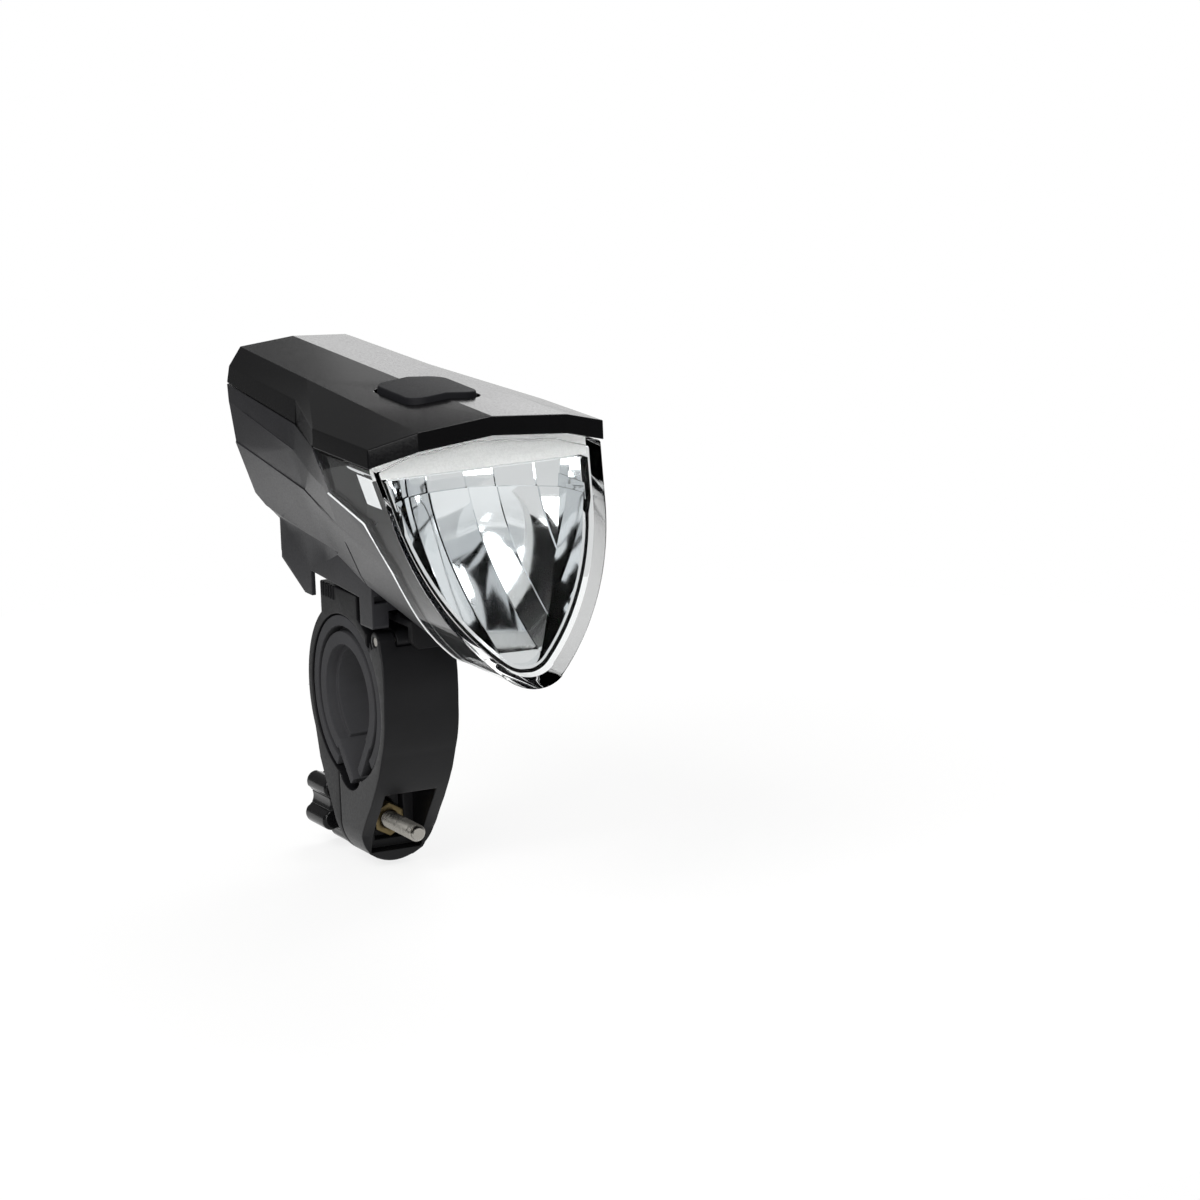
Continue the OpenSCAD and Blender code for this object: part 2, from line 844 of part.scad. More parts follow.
// White brow across the top of the window
module brow_panel() {
    color("#f1f1ef")
    intersection() {
        lens_form(lens_t + seat, lip_t + free + lens_t + seat, brow_back, -20);
        difference() {
            behind_face(brow_back);
            behind_face(brow_back + brow_t);
        }
        translate([-far / 2, -far, brow_z])
            cube([far, 2 * far, far]);
    }
}

// Aluminium board of the light source, on the deck of the reflector
module led_board() {
    color("#dfe1dd")
    translate([-led_board_w / 2, led_y - led_board_l / 2, led_board_z])
        cube([led_board_w, led_board_l, led_board_t]);
}

// Light source, facing down into the bowl
module led_emitter() {
    led_h = deck_t + 0.2;
    color("#f2e28a")
    translate([-led_w / 2, led_y - led_w / 2, led_board_z - seat - led_h])
        cube([led_w, led_w, led_h]);
}

// Finned heat sink on the board
module heat_sink() {
    sink_w = led_board_w - 1;
    sink_l = led_board_l - 1;
    base_t = 1;
    fin_t = 1.2;
    fin_h = 1.4;
    fins = 5;
    pitch = (sink_w - fin_t) / (fins - 1);
    color("#aeb2b6")
    translate([-sink_w / 2, led_y - sink_l / 2, led_board_z + led_board_t + seat]) {
        cube([sink_w, sink_l, base_t]);
        for (i = [0:fins - 1])
            translate([i * pitch, 0, 0])
                cube([fin_t, sink_l, base_t + fin_h]);
    }
}

// Control board across the body behind the reflector
module control_board() {
    color("#2f6b45")
    difference() {
        translate([-board_w / 2, board_front_y, board_z])
            cube([board_w, board_rear_y + web_t - board_front_y, board_t]);
        for (s = [-1, 1])
            bar_z(s * board_screw_x, board_rear_y + web_t / 2, board_z - 1, board_t + 2, board_screw_r + seat);
    }
}

// Driver parts on the control board
module driver_parts() {
    chip = [board_w / 5, board_w / 4, board_t];
    coil = [board_w / 4, board_w / 4, 1.5 * board_t];
    cap = [board_w / 8, board_w / 8, 0.75 * board_t];
    edge = board_w / 8;
    color("#2a2a2a")
    translate([0, 0, board_z + board_t + seat]) {
        translate([-board_w / 2 + edge, board_front_y + edge, 0])
            cube(chip);
        translate([board_w / 2 - edge - coil[0] + 1.5, board_front_y + edge, 0])
            cube(coil);
        translate([-board_w / 2 + edge, board_rear_y - cap[1] - web_t, 0])
            cube(cap);
    }
}

// Push switch under the button
module tact_switch() {
    switch_w = 6;
    color("#1f1f20")
    translate([-switch_w / 2, button_y - switch_w / 2, board_z + board_t + seat])
        cube([switch_w, switch_w, switch_h]);
    color("#1f1f20")
    bar_z(0, button_y, board_z + board_t + seat, switch_h + plunger_h, 1.7);
}

// Two screws that hold the control board on the bay wall
module board_screws() {
    head_r = 2 * board_screw_r;
    head_h = 1.1;
    color("#9a9da1")
    for (s = [-1, 1])
        translate([s * board_screw_x, board_rear_y + web_t / 2, 0]) {
            translate([0, 0, board_z + board_t + seat])
                cylinder(r = head_r, h = head_h);
            translate([0, 0, board_z - screw_in])
                cylinder(r = board_screw_r, h = board_t + screw_in + head_h / 2);
        }
}

// Three round cells, two above and one below
module battery_cells() {
    cap_h = 1;
    cap_r = cell_d * 0.19;
    color("#4a4f57")
    for (p = cell_places) {
        bar_y(cell_rear_y, cell_l - cap_h, p[0], p[1], cell_d / 2);
        bar_y(cell_front_y + cap_h + 0.1, cap_h + 0.1, p[0], p[1], cap_r);
    }
}

// Contact plates with a pip on the wall in front of the cells
module contact_plates() {
    pip_r = 2;
    color("#c9b26a")
    for (p = cell_places) {
        translate([p[0] - plate_w / 2, bay_front_y + seat, p[1] - plate_h / 2])
            cube([plate_w, plate_t, plate_h]);
        bar_y(cell_front_y - seat, cell_front_y - bay_front_y - plate_t - seat, p[0], p[1], pip_r);
    }
}

// Bent leaf springs on the rear wall, one behind each cell
module contact_springs() {
    root_y = bay_rear_y - plate_t;
    tip_y = cell_rear_y + seat;
    root_h = plate_h / 2 - 0.1;
    tip_h = 0.9;
    color("#c2c4c8")
    for (p = cell_places) {
        translate([p[0] - spring_w / 2, root_y, p[1] - plate_h / 2])
            cube([spring_w, plate_t, plate_h]);
        translate([p[0], 0, p[1]])
            across(spring_w)
                polygon([[root_y + 0.1, -root_h], [tip_y, -tip_h], [tip_y, tip_h], [root_y + 0.1, root_h],
                    [root_y + 0.1, root_h - leaf_t], [tip_y + leaf_t, tip_h - leaf_t / 2],
                    [tip_y + leaf_t, leaf_t / 2 - tip_h], [root_y + 0.1, leaf_t - root_h]]);
    }
}

// Roof cover with the hood
module top_cover() {
    color("#1f1f22")
    difference() {
        union() {
            hull() {
                station(rear_y, cov_rear);
                station(waist_y, cov_waist);
            }
            hull() {
                station(waist_y, cov_waist);
                station(wing_y, cov_wing);
            }
            hull() {
                station(wing_y, cov_wing);
                station(corner_y, cov_corner);
                station(-hood_y, cov_nose);
            }
        }
        hull() {
            station(rear_y - wall, cov_in(cov_rear, wall));
            station(waist_y, cov_in(cov_waist, wall));
        }
        hull() {
            station(waist_y, cov_in(cov_waist, wall));
            station(wing_y, cov_in(cov_wing, lip_w));
        }
        hull() {
            station(wing_y, cov_in(cov_wing, lip_w));
            station(corner_y + 4, cov_in(cov_corner, lip_w));
        }
        along_y(side_top_y + free, far)
            under_roof(lip_t);
        button_prism(free, far);
    }
}

// Plan of the button with round corners, grown by g, standing tall
module button_prism(g, h) {
    corner = 4;
    translate([0, button_y, ridge_z - h / 2]) {
        for (sx = [-1, 1])
            for (sy = [-1, 1])
                translate([sx * (button_w / 2 - corner), sy * (button_l / 2 - corner), 0])
                    cylinder(r = corner + g, h = h);
        translate([-button_w / 2 + corner, -button_l / 2 - g, 0])
            cube([button_w - 2 * corner, button_l + 2 * g, h]);
        translate([-button_w / 2 - g, -button_l / 2 + corner, 0])
            cube([button_w + 2 * g, button_l - 2 * corner, h]);
    }
}

// Sheet that follows the two top panels, from z1 above the roof to z0 above it
module roof_sheet(z0, z1) {
    fold = (ridge_at(button_y) - kink_z(button_y)) / kink_w(button_y);
    reach = button_w;
    translate([0, button_y, ridge_at(button_y)])
        rotate([atan(roof_fall / roof_len), 0, 0])
            rotate([90, 0, 0])
                linear_extrude(2 * button_l, center = true)
                    polygon([[0, z1], [reach, z1 - reach * fold], [reach, z0 - reach * fold], [0, z0],
                        [-reach, z0 - reach * fold], [-reach, z1 - reach * fold]]);
}

// Rubber push button folded over the ridge, with a flange under the roof and a plunger
module power_button() {
    flange_t = 0.9;
    flange_w = 1.2;
    stem_r = 2.4;
    stem_z = board_z + board_t + switch_h + plunger_h + button_travel + 0.2;
    color("#3d3d40")
    union() {
        intersection() {
            button_prism(0, ridge_z);
            roof_sheet(-wall - flange_t, button_h);
        }
        intersection() {
            button_prism(flange_w, ridge_z);
            roof_sheet(-wall - flange_t, -wall - free);
        }
        bar_z(0, button_y, stem_z, ridge_at(button_y) - wall - stem_z, stem_r);
    }
}

bracket();
front_jaw();
hinge_pin();
outer_liner();
inner_liner();
release_latch();
clamp_screw();
clamp_nut();
knob_washer();
clamp_knob();
lower_housing();
lens();
reflector();
brow_panel();
led_board();
led_emitter();
heat_sink();
control_board();
driver_parts();
tact_switch();
board_screws();
battery_cells();
contact_plates();
contact_springs();
top_cover();
power_button();
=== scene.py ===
import bpy
import bmesh
from math import cos, pi, radians, sin, tan
from mathutils import Matrix, Vector


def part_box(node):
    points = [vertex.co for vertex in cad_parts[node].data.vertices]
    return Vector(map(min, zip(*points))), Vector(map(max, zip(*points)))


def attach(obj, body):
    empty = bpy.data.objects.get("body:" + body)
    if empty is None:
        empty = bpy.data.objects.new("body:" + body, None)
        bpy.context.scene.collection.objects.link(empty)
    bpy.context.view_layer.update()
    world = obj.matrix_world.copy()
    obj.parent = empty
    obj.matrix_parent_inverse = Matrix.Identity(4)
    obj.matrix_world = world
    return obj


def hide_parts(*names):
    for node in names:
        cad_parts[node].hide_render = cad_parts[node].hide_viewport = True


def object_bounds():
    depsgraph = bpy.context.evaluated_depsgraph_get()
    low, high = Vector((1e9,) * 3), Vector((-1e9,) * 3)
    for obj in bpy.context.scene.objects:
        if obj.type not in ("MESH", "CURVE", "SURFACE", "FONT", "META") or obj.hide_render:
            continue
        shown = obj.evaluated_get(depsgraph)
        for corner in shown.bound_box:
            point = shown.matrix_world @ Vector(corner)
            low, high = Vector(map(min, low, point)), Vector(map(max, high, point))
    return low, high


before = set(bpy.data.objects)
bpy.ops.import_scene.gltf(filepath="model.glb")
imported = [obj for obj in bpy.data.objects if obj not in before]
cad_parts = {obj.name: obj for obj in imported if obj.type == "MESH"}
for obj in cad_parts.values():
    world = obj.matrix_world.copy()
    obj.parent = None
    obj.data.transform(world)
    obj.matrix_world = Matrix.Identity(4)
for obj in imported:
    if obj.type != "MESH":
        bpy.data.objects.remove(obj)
cad_box = [list(corner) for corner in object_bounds()]


# Clamp bracket with the slide rail on top.
# Black glass-filled nylon, injection moulded in one piece, so its edges are small radii and
# its skin is matt with a spark-eroded grain, drawn coarse enough to show.
MM = .001
noise_low, noise_high = .3, .7


def tint(code):
    """An sRGB hex colour as linear RGBA."""
    parts = [int(code[i:i + 2], 16) / 255 for i in (1, 3, 5)]
    return [p / 12.92 if p <= .04045 else ((p + .055) / 1.055) ** 2.4 for p in parts] + [1]


def put(tree, kind, settings=None, **sockets):
    """Add a node with its settings; a socket is linked or set, and i3 means socket number 3."""
    node = tree.nodes.new(kind)
    for key, value in (settings or {}).items():
        setattr(node, key, value)
    for key, value in sockets.items():
        number = key[1:].isdigit()
        socket = node.inputs[int(key[1:]) if number else key.replace("_", " ")]
        if isinstance(value, bpy.types.NodeSocket):
            tree.links.new(value, socket)
        else:
            socket.default_value = value
    return node


def blank(name):
    """A new material with an empty node tree, and its Object coordinates."""
    stuff = bpy.data.materials.new(name)
    stuff.use_nodes = True
    stuff.node_tree.nodes.clear()
    return stuff, stuff.node_tree, put(stuff.node_tree, "ShaderNodeTexCoord").outputs["Object"]


def moulded(name, dark, light, rough, grain_mm, relief_mm, specular=.5):
    """Moulded plastic: a slow flow mottle in the colour, and a grain that breaks up the gloss."""
    flow_mm, spread = 11, .05
    stuff, tree, at = blank(name)
    flow = put(tree, "ShaderNodeTexNoise", Vector=at, Scale=1000 / flow_mm, Detail=4.0,
               Roughness=.6)
    grain = put(tree, "ShaderNodeTexNoise", Vector=at, Scale=1000 / grain_mm, Detail=2.0)
    colour = put(tree, "ShaderNodeMix", {"data_type": "RGBA"}, i0=flow.outputs["Fac"],
                 i6=tint(dark), i7=tint(light))
    gloss = put(tree, "ShaderNodeMapRange", i0=grain.outputs["Fac"], i1=noise_low,
                i2=noise_high, i3=rough - spread, i4=rough + spread)
    relief = put(tree, "ShaderNodeBump", Height=grain.outputs["Fac"], Strength=.6,
                 Distance=relief_mm * MM)
    skin = put(tree, "ShaderNodeBsdfPrincipled", Base_Color=colour.outputs[2],
               Roughness=gloss.outputs[0], Specular_IOR_Level=specular,
               Normal=relief.outputs[0])
    put(tree, "ShaderNodeOutputMaterial", Surface=skin.outputs[0])
    return stuff


def eased(node, edge_mm, turn=28):
    """A merged copy of a CAD node; edges that turn more than turn degrees, between faces wide
    enough for it, are rounded."""
    same_point, same_plane = 2e-6, radians(.6)
    form = bmesh.new()
    form.from_mesh(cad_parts[node].data)
    bmesh.ops.remove_doubles(form, verts=form.verts, dist=same_point)
    bmesh.ops.dissolve_limit(form, angle_limit=same_plane, verts=form.verts, edges=form.edges)
    bmesh.ops.triangulate(form, faces=[f for f in form.faces if len(f.verts) > 4])
    offset = edge_mm * MM
    corners = [e for e in form.edges if e.is_manifold and e.calc_face_angle() > radians(turn)
               and all(f.calc_area() > offset * e.calc_length() for f in e.link_faces)]
    bmesh.ops.bevel(form, geom=corners, offset=offset, offset_type="OFFSET", segments=2,
                    profile=.5, affect="EDGES", clamp_overlap=False, material=-1)
    return form


def fitted(form, name, body, slot, stuff, *nodes, sharp=35):
    """Make a form a piece of its body, standing for CAD nodes, with smooth faces; edges that
    turn more than sharp degrees stay crisp."""
    for face in form.faces:
        face.smooth = True
    for edge in form.edges:
        if edge.is_manifold and edge.calc_face_angle() > radians(sharp):
            edge.smooth = False
    mesh = bpy.data.meshes.new(name)
    form.to_mesh(mesh)
    form.free()
    mesh.materials.append(stuff)
    piece = bpy.data.objects.new(name, mesh)
    bpy.context.scene.collection.objects.link(piece)
    normals = piece.modifiers.new("even_faces", "WEIGHTED_NORMAL")
    normals.keep_sharp = True
    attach(piece, body)
    if nodes:
        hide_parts(*nodes)


nylon = moulded("black_nylon_moulded", "#0c0c0d", "#131315", rough=.42, grain_mm=.45,
                relief_mm=.03, specular=.14)
fitted(eased("bracket", .35), "bracket_moulding", "bracket", "bracket_plastic", nylon, "bracket")


# Hinge pin of the front jaw.
# Drawn steel wire pressed through the knuckles; it keeps lines from drawing, which are drawn
# coarse enough to show.
def drawn_metal(name, dark, light, rough, line_mm, stretch=(1, 1, 1)):
    """Metal with drawing or turning lines in its colour and gloss."""
    spread, line_depth_mm = .08, .004
    stuff, tree, at = blank(name)
    lay = put(tree, "ShaderNodeMapping", Vector=at, Scale=stretch)
    lines = put(tree, "ShaderNodeTexNoise", Vector=lay.outputs[0], Scale=1000 / line_mm,
                Detail=3.0)
    colour = put(tree, "ShaderNodeMix", {"data_type": "RGBA"}, i0=lines.outputs["Fac"],
                 i6=tint(dark), i7=tint(light))
    gloss = put(tree, "ShaderNodeMapRange", i0=lines.outputs["Fac"], i1=noise_low,
                i2=noise_high, i3=rough - spread, i4=rough + spread)
    relief = put(tree, "ShaderNodeBump", Height=lines.outputs["Fac"], Strength=.3,
                 Distance=line_depth_mm * MM)
    skin = put(tree, "ShaderNodeBsdfPrincipled", Base_Color=colour.outputs[2], Metallic=1.0,
               Roughness=gloss.outputs[0], Normal=relief.outputs[0])
    put(tree, "ShaderNodeOutputMaterial", Surface=skin.outputs[0])
    return stuff


def clad(node, stuff):
    """Give a CAD node that keeps its own shape a material."""
    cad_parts[node].material_slots[0].material = stuff


steel = drawn_metal("bright_steel_drawn", "#94918b", "#a8a59f", rough=.3, line_mm=1.2,
                    stretch=(.3, 1, 1))
clad("hinge_pin", steel)

# Two rubber rings that line the clamp's bore, one inside the other.
# Moulded rubber, dull, with a fine speckle of bloom.
rubber = moulded("black_rubber_moulded", "#2e2e30", "#3a3a3c", rough=.78, grain_mm=.3,
                 relief_mm=.04, specular=.2)
fitted(eased("outer_liner", .3), "outer_ring", "bracket", "liner_rubber", rubber, "outer_liner")
fitted(eased("inner_liner", .3), "inner_ring", "bracket", "liner_rubber", rubber, "inner_liner")

# Front jaw of the clamp with the pocket for the nut.
# The same black nylon, a little smoother where the tool was polished.
jaw_nylon = moulded("black_nylon_satin", "#0d0d0e", "#141416", rough=.36, grain_mm=.5,
                    relief_mm=.02, specular=.16)
fitted(eased("front_jaw", .35), "front_jaw_moulding", "front_jaw", "bracket_plastic", jaw_nylon,
       "front_jaw")

# Release latch: a spring tongue with a tooth and a thumb tab.
# Black nylon, moulded thin so that it bends.
fitted(eased("release_latch", .25), "latch_tongue", "release_latch", "bracket_plastic", nylon,
       "release_latch")

# Clamp screw and washer.
# Rolled M4 thread in bright steel, with a chamfered end and a plain neck behind the thread;
# the washer is stamped from steel sheet.
low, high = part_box("clamp_screw")
axis_y = Vector((0, 1, 0))
screw_z = (low.z + high.z) / 2
pitch, crest, root = .7 * MM, 2 * MM, 1.62 * MM
turns, turn_steps, shank_steps = 30, 24, 32
thread_merge, shank_merge = 5e-6, 1e-6
thread_y, chamfer, cover, run_out = low.y + .5 * MM, .3 * MM, .02 * MM, .4 * MM
neck_y = thread_y + (turns + .8) * pitch
screw = bmesh.new()
flank = [screw.verts.new((0, thread_y + share * pitch, screw_z + r)) for share, r in (
    (0, root), (.1, root), (.44, crest), (.56, crest), (.9, root), (1, root))]
ridge = [screw.edges.new(pair) for pair in zip(flank, flank[1:])]
bmesh.ops.spin(screw, geom=flank + ridge, cent=(0, 0, screw_z), axis=axis_y,
               dvec=(0, pitch / turn_steps, 0), angle=2 * pi * turns, steps=turn_steps * turns)
bmesh.ops.remove_doubles(screw, verts=screw.verts, dist=thread_merge)
shank = [screw.verts.new((0, y, screw_z + r)) for y, r in (
    (low.y, 0), (low.y, root - chamfer), (thread_y, root + cover), (neck_y, root + cover),
    (neck_y + run_out, crest), (high.y, crest), (high.y, 0))]
side = [screw.edges.new(pair) for pair in zip(shank, shank[1:])]
bmesh.ops.spin(screw, geom=shank + side, cent=(0, 0, screw_z), axis=axis_y, angle=2 * pi,
               steps=shank_steps, use_merge=True)
bmesh.ops.remove_doubles(screw, verts=screw.verts, dist=shank_merge)
bmesh.ops.recalc_face_normals(screw, faces=screw.faces)
fitted(screw, "threaded_screw", "clamp_knob", "steel", steel, "clamp_screw")
fitted(eased("knob_washer", .15), "washer", "clamp_knob", "steel", steel, "knob_washer")

# Nut held in the jaw's pocket.
# Steel hexagon, zinc plated and yellow passivated, so its colour drifts from straw to brass.
zinc = drawn_metal("yellow_zinc_plate", "#4f4430", "#75684a", rough=.36, line_mm=2.2)
fitted(eased("clamp_nut", .3), "hex_nut", "clamp_nut", "yellow_zinc", zinc, "clamp_nut")


# Knob that tightens the clamp.
# Gloss black plastic moulded round the screw's head, with six finger hollows. Rings cut near
# both ends are drawn in, so that the ends are round.
def cut(form, point, way, clear=False):
    """Split a form along a plane, and drop what lies beyond it if clear is true."""
    bmesh.ops.bisect_plane(form, geom=form.verts[:] + form.edges[:] + form.faces[:], dist=1e-7,
                           plane_co=point, plane_no=way, clear_outer=clear)


knob_black = moulded("black_abs_gloss", "#0a0a0b", "#101011", rough=.22, grain_mm=.8,
                     relief_mm=.01, specular=.22)
knob = eased("clamp_knob", 0, turn=180)
low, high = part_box("clamp_knob")
round_r, bore_r, reach_r, rings = .8 * MM, 5 * MM, 8.4 * MM, 4
for ring in range(1, rings + 1):
    depth = round_r * (1 - cos(radians(90) * ring / rings))
    for y in (low.y + depth, high.y - depth):
        cut(knob, (0, y, 0), axis_y)
for vert in knob.verts:
    depth = max(min(vert.co.y - low.y, high.y - vert.co.y), 0)
    if depth < round_r and (vert.co.x ** 2 + (vert.co.z - screw_z) ** 2) ** .5 > bore_r:
        draw_in = (round_r - (round_r ** 2 - (round_r - depth) ** 2) ** .5) / reach_r
        vert.co.x *= 1 - draw_in
        vert.co.z += (screw_z - vert.co.z) * draw_in
fitted(knob, "lobed_knob", "clamp_knob", "knob_plastic", knob_black, "clamp_knob", sharp=50)

# Lower half of the lamp's shell, with the rail channel below and the battery bay inside.
# Dark grey ABS, satin, moulded with three crisp creases along each side, which fade out
# towards the lens; its foot is flat behind the rail.
body_grey = moulded("dark_grey_abs_satin", "#1e1e20", "#252528", rough=.34, grain_mm=.4,
                    relief_mm=.02, specular=.16)
shell = eased("lower_housing", .22)
foot_y, foot_z = 30 * MM, 26.94 * MM
for vert in shell.verts:
    if vert.co.y > foot_y:
        vert.co.z = max(vert.co.z, foot_z)
creases = (((43, 62.8), (-18, 56.6), .2),
           ((38, 53), (-30, 46), -.25),
           ((25.6, 37.5), (-28, 32.3), .35))
on_line, core_x, side_face = 2e-6, 9 * MM, .6
fade_y, fade_l = -36, 20
for y in range(-35, 40, 10):
    cut(shell, (0, y * MM, 0), axis_y)
for (y0, z0), (y1, z1), depth in creases:
    point, face_up = Vector((0, y0, z0)) * MM, Vector((0, z1 - z0, y0 - y1)).normalized()
    cut(shell, point, face_up)
    shell.normal_update()
    ridge = {v for v in shell.verts if abs((v.co - point).dot(face_up)) < on_line
             and abs(v.co.x) > core_x and v.normal.x * v.co.x > side_face * abs(v.co.x)}
    for edge in shell.edges:
        if ridge.issuperset(edge.verts):
            edge.smooth = False
    for vert in ridge:
        fade = min(max((vert.co.y / MM - fade_y) / fade_l, 0), 1)
        vert.co.x += (depth if vert.co.x > 0 else -depth) * fade * MM
fitted(shell, "lower_shell", "lamp", "body_plastic", body_grey, "lower_housing")

# Cells, contact plates and leaf springs of the battery bay.
# Cells have a shrunk film jacket in two plain tones, with the band at one end; the contacts are
# nickelled spring strip.
jacket, tree, at = blank("shrunk_film_jacket")
_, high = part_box("battery_cells")
band_mm, scuff_mm = 11, 3
along = put(tree, "ShaderNodeSeparateXYZ", Vector=at)
band = put(tree, "ShaderNodeMath", {"operation": "GREATER_THAN"}, i0=along.outputs["Y"],
           i1=high.y - band_mm * MM)
scuff = put(tree, "ShaderNodeTexNoise", Vector=at, Scale=1000 / scuff_mm, Detail=4.0)
plain = put(tree, "ShaderNodeMix", {"data_type": "RGBA"}, i0=scuff.outputs["Fac"],
            i6=tint("#2c3238"), i7=tint("#3b424a"))
ochre = put(tree, "ShaderNodeMix", {"data_type": "RGBA"}, i0=scuff.outputs["Fac"],
            i6=tint("#9a7434"), i7=tint("#b58b45"))
colour = put(tree, "ShaderNodeMix", {"data_type": "RGBA"}, i0=band.outputs[0],
             i6=plain.outputs[2], i7=ochre.outputs[2])
gloss = put(tree, "ShaderNodeMapRange", i0=scuff.outputs["Fac"], i1=noise_low, i2=noise_high,
            i3=.24, i4=.38)
skin = put(tree, "ShaderNodeBsdfPrincipled", Base_Color=colour.outputs[2],
           Roughness=gloss.outputs[0])
put(tree, "ShaderNodeOutputMaterial", Surface=skin.outputs[0])
clad("battery_cells", jacket)
strip = drawn_metal("nickelled_strip", "#a59b7c", "#c9c0a2", rough=.28, line_mm=.5,
                    stretch=(1, .2, 1))
clad("contact_plates", strip)
clad("contact_springs", steel)

# Control board with its parts, switch and two screws.
# Green solder mask over copper tracks, which show through it paler; black epoxy parts.
mask, tree, at = blank("green_solder_mask")
track_mm = 4
tracks = put(tree, "ShaderNodeTexBrick", {"offset": .35, "squash": .6}, Vector=at,
             Scale=1000 / track_mm, Color1=tint("#1f5a37"), Color2=tint("#235f3b"),
             Mortar=tint("#2f7a4c"), Mortar_Size=.06)
skin = put(tree, "ShaderNodeBsdfPrincipled", Base_Color=tracks.outputs["Color"], Roughness=.35)
put(tree, "ShaderNodeOutputMaterial", Surface=skin.outputs[0])
epoxy = moulded("black_epoxy_moulded", "#17171a", "#202024", rough=.5, grain_mm=.3,
                relief_mm=.02)
clad("control_board", mask)
clad("driver_parts", epoxy)
clad("tact_switch", epoxy)
clad("board_screws", steel)

# Light source: an emitter under an aluminium board, with a finned sink on top.
# Extruded aluminium, milled; the emitter is a yellow phosphor pad.
alloy = drawn_metal("aluminium_extruded", "#9a9c9f", "#c2c4c7", rough=.36, line_mm=.4,
                    stretch=(1, .1, 1))
clad("led_board", alloy)
clad("heat_sink", alloy)
phosphor = moulded("phosphor_silicone", "#d9b62f", "#e8c94a", rough=.5, grain_mm=.4,
                   relief_mm=.02)
clad("led_emitter", phosphor)

# Reflector: a faceted half bowl below the emitter, stepped near its top, with a flange behind
# the lens. ABS with a vacuum-metallised aluminium mirror; each column is flat across and
# curved down like a parabola, so the facets show as tall stripes.
chrome, tree, at = blank("vacuum_metallised_mirror")
haze_mm = 5
haze = put(tree, "ShaderNodeTexNoise", Vector=at, Scale=1000 / haze_mm, Detail=4.0)
gloss = put(tree, "ShaderNodeMapRange", i0=haze.outputs["Fac"], i1=noise_low, i2=noise_high,
            i3=.02, i4=.07)
colour = put(tree, "ShaderNodeMix", {"data_type": "RGBA"}, i0=haze.outputs["Fac"],
             i6=tint("#eff1f2"), i7=tint("#f7f8f9"))
skin = put(tree, "ShaderNodeBsdfPrincipled", Base_Color=colour.outputs[2], Metallic=1.0,
           Roughness=gloss.outputs[0])
put(tree, "ShaderNodeOutputMaterial", Surface=skin.outputs[0])

# Columns: left and right edge in mm, and how far the mirror is turned, as a slope.
columns = ((-23.4, -18, .16), (-18, -10.5, .2), (-10.5, -4.6, .1), (-4.6, 4.6, .05),
           (4.6, 10.5, .06), (10.5, 18, .12), (18, 23.4, .16))
focus_z, back_y, focal = 61, -40, 10
gap, parts = .02, 4
bottom_z, step_z, rows = 16, 53.8, 34
step_h, step_back, step_rows = 7.3, .9, 5
across_mm = [(x0 + gap + (x1 - x0 - 2 * gap) * s / parts, x0, x1, yaw)
             for x0, x1, yaw in columns for s in range(parts + 1)]
down_mm = [(bottom_z + (step_z - bottom_z) * s / rows, 0) for s in range(rows + 1)]
down_mm += [(step_z + gap + step_h * s / step_rows, step_back) for s in range(step_rows + 1)]
bowl = bmesh.new()
bmesh.ops.create_grid(bowl, x_segments=len(across_mm) - 1, y_segments=len(down_mm) - 1, size=1)
for vert in bowl.verts:
    x, x0, x1, yaw = across_mm[round((vert.co.x + 1) / 2 * (len(across_mm) - 1))]
    z, back = down_mm[round((vert.co.y + 1) / 2 * (len(down_mm) - 1))]
    y0, y1 = (back_y - (e * e + (z - focus_z) ** 2) / (4 * focal) for e in (x0, x1))
    y = y0 + (y1 - y0) * (x - x0) / (x1 - x0) + yaw * (x - (x0 + x1) / 2) + back
    vert.co = Vector((x, y, z)) * MM

# Its flange leans with the lens, and its outline is the lens's, set in.
rake, flange_y, face_z = tan(radians(24.6)), -56.3, 65
flank_x, flank_z, flank_r = -29.46, 61.97, 55.5
chin_z, chin_r = 27.95, 10.5
inset, mirror_t = 3.5, .8
flange = Vector((0, flange_y, face_z)) * MM
cut(bowl, flange, (0, -1, rake))
for vert in bowl.verts:
    vert.co.y = max(vert.co.y, flange.y - (flange.z - vert.co.z) * rake)
rim = [(23.2, 62)]
rim += [(flank_x + (flank_r - inset) * cos(radians(t)),
         flank_z - (flank_r - inset) * sin(radians(t))) for t in range(9, 50, 5)]
rim += [((chin_r - inset) * cos(radians(t)), chin_z - (chin_r - inset) * sin(radians(t)))
        for t in (60, 75, 89)]
for (x0, z0), (x1, z1) in zip(rim, rim[1:]):
    for hand in (1, -1):
        cut(bowl, (hand * x0 * MM, 0, z0 * MM), (hand * (z0 - z1), 0, x1 - x0), clear=True)
cut(bowl, (0, 0, (chin_z - chin_r + inset) * MM), (0, 0, -1), clear=True)
rear = bmesh.ops.extrude_face_region(bowl, geom=bowl.faces[:], use_keep_orig=True)["geom"]
bmesh.ops.translate(bowl, verts=[v for v in rear if isinstance(v, bmesh.types.BMVert)],
                    vec=(0, mirror_t * MM, 0))
bmesh.ops.recalc_face_normals(bowl, faces=bowl.faces)
fitted(bowl, "faceted_reflector", "lamp", "reflector_chrome", chrome, "reflector", sharp=5)

